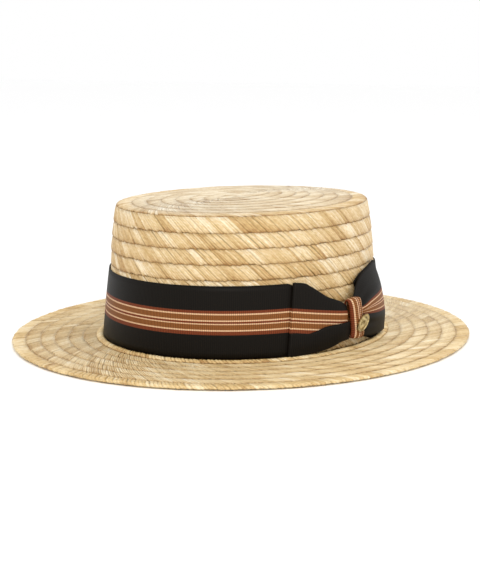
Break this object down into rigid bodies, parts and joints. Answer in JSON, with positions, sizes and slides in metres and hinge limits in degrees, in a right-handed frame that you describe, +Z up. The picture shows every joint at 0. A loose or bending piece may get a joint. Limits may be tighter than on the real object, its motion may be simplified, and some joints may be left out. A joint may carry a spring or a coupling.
{
  "type": "straw boater hat",
  "caption": "Flat-topped straw hat with an oval crown, a level oval brim, a striped ribbon round the crown and a pinched ribbon bow at the side.",
  "frame": {"origin": "on the surface that the brim rests on, under the middle of the oval", "axes": "+Z up through the crown, -Y to the front of the hat, +X to the wearer's left, where the bow is"},
  "size_m": [0.2968, 0.3248, 0.0934],
  "materials": {
    "straw_braid": "natural sewn straw braid, satin sheen",
    "straw_braid_brim": "natural sewn straw braid, satin sheen",
    "striped_ribbon": "black ribbed ribbon with brown, red and cream stripes along its middle",
    "knot_ribbon": "ribbed ribbon folded to show its brown, red and cream stripes",
    "old_brass": "dulled old brass"
  },
  "bodies": {
    "root": {"crown": "straw_braid", "brim": "straw_braid_brim", "hatband": "striped_ribbon", "bow_front_wing": "striped_ribbon", "bow_back_wing": "striped_ribbon", "bow_knot": "knot_ribbon", "brass_pin": "old_brass"}
  },
  "joints": []
}
